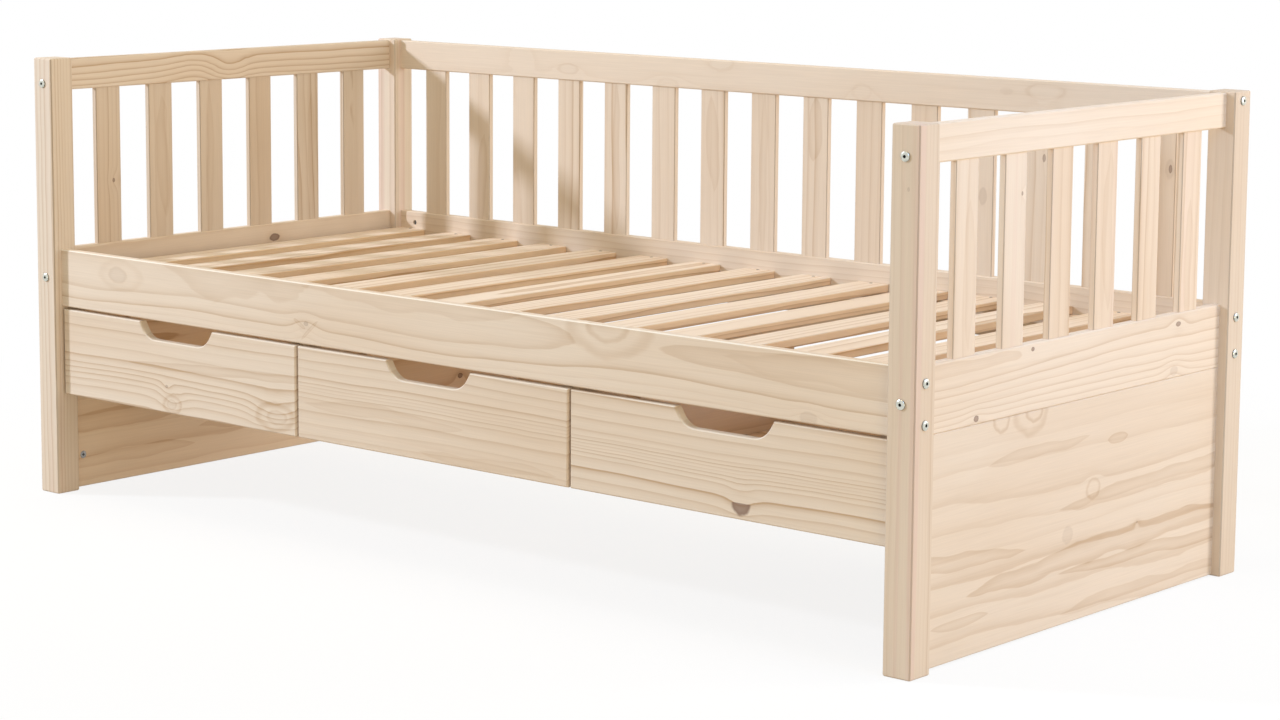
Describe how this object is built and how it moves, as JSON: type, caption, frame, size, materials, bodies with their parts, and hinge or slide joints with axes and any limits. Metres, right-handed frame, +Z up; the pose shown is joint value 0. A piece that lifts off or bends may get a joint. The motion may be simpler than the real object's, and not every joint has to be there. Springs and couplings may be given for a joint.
{
  "type": "cabin bed",
  "caption": "Pine day bed with square posts, slatted back and ends, an open front over drawers with hand cut-outs that slide out, and slats that carry a mattress.",
  "frame": {"origin": "on the floor under the middle of the bed", "axes": "+X along the bed to its right end, +Y to the slatted back, +Z up"},
  "size_m": [2.086, 0.978, 0.845],
  "materials": {
    "pine": "planed, untreated",
    "drawer_board": "smooth thin board",
    "zinc_steel": "zinc plated"
  },
  "bodies": {
    "frame": {"back_left_post": "pine", "back_right_post": "pine", "back_side_rail": "pine", "back_slat_ledger": "pine", "back_top_rail": "pine", "back_uprights": "pine", "barrel_nuts": "zinc_steel", "bed_slats": "pine", "cam_bolts": "zinc_steel", "cam_locks": "zinc_steel", "connector_bolts": "zinc_steel", "divider_brackets": "zinc_steel", "drawer_kickers": "pine", "drawer_runners": "pine", "drawer_stops": "pine", "front_left_post": "pine", "front_right_post": "pine", "front_side_rail": "pine", "front_slat_ledger": "pine", "left_drawer_divider": "pine", "left_drawer_guide": "pine", "left_end_middle_rail": "pine", "left_end_panel": "pine", "left_end_top_rail": "pine", "left_end_uprights": "pine", "right_drawer_divider": "pine", "right_drawer_guide": "pine", "right_end_middle_rail": "pine", "right_end_panel": "pine", "right_end_top_rail": "pine", "right_end_uprights": "pine"},
    "left_drawer": {"left_drawer_front": "pine", "left_drawer_left_side": "pine", "left_drawer_right_side": "pine", "left_drawer_back": "pine", "left_drawer_bottom": "drawer_board"},
    "middle_drawer": {"middle_drawer_front": "pine", "middle_drawer_left_side": "pine", "middle_drawer_right_side": "pine", "middle_drawer_back": "pine", "middle_drawer_bottom": "drawer_board"},
    "right_drawer": {"right_drawer_front": "pine", "right_drawer_left_side": "pine", "right_drawer_right_side": "pine", "right_drawer_back": "pine", "right_drawer_bottom": "drawer_board"}
  },
  "joints": [
    {"name": "left_drawer_slide", "type": "slide", "parent": "frame", "child": "left_drawer", "axis": [0, -1, 0], "range_m": [0, 0.4]},
    {"name": "middle_drawer_slide", "type": "slide", "parent": "frame", "child": "middle_drawer", "axis": [0, -1, 0], "range_m": [0, 0.4]},
    {"name": "right_drawer_slide", "type": "slide", "parent": "frame", "child": "right_drawer", "axis": [0, -1, 0], "range_m": [0, 0.4]}
  ]
}
